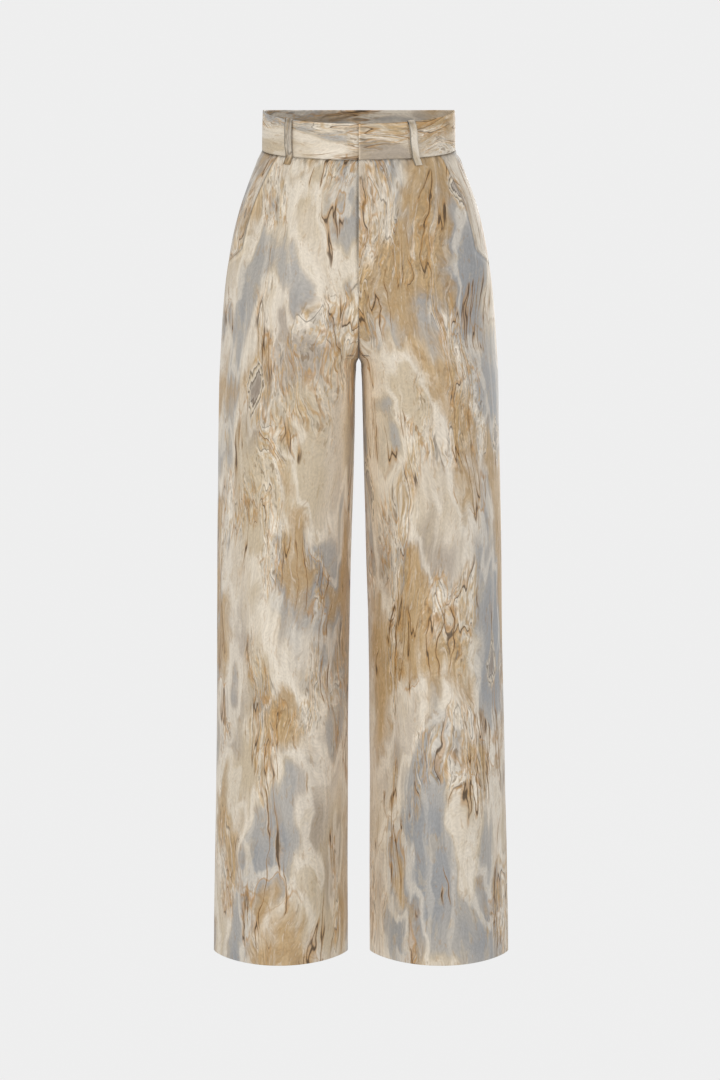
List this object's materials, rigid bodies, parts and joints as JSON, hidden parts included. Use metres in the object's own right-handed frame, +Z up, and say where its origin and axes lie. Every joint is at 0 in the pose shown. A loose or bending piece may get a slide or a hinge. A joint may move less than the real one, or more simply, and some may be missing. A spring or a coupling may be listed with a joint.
{
  "type": "straight-leg trousers",
  "caption": "High-waisted straight-leg trousers in printed satin, filled out as when worn, with a waistband that laps at the centre front, a lapped fly, slant pockets and belt loops.",
  "frame": {"origin": "centre of the waist opening, level with the waistband's top edge at the sides, where the wearer holds the garment up", "axes": "+Z up towards the wearer's head, +X to the wearer's left, which is the viewer's right, and -Y out of the front with the fly"},
  "size_m": [0.3872, 0.2434, 1.1039],
  "materials": {
    "printed_satin_front": "satin-faced woven cloth with an all-over marbled print, as cut for the fronts",
    "printed_satin_back": "the same printed satin, as cut for the backs",
    "printed_satin_facing": "the same printed satin, as cut for the pocket facings",
    "printed_satin_band": "the same printed satin, cut across for the interlined waistband",
    "printed_satin_loop": "the same printed satin, folded into narrow straps"
  },
  "bodies": {
    "root": {"front_left": "printed_satin_front", "front_right": "printed_satin_front", "back_left": "printed_satin_back", "back_right": "printed_satin_back", "pocket_facing_left": "printed_satin_facing", "pocket_facing_right": "printed_satin_facing", "waistband": "printed_satin_band", "belt_loop_front_left": "printed_satin_loop", "belt_loop_front_right": "printed_satin_loop", "belt_loop_back_left": "printed_satin_loop", "belt_loop_back_centre": "printed_satin_loop", "belt_loop_back_right": "printed_satin_loop"}
  },
  "joints": []
}
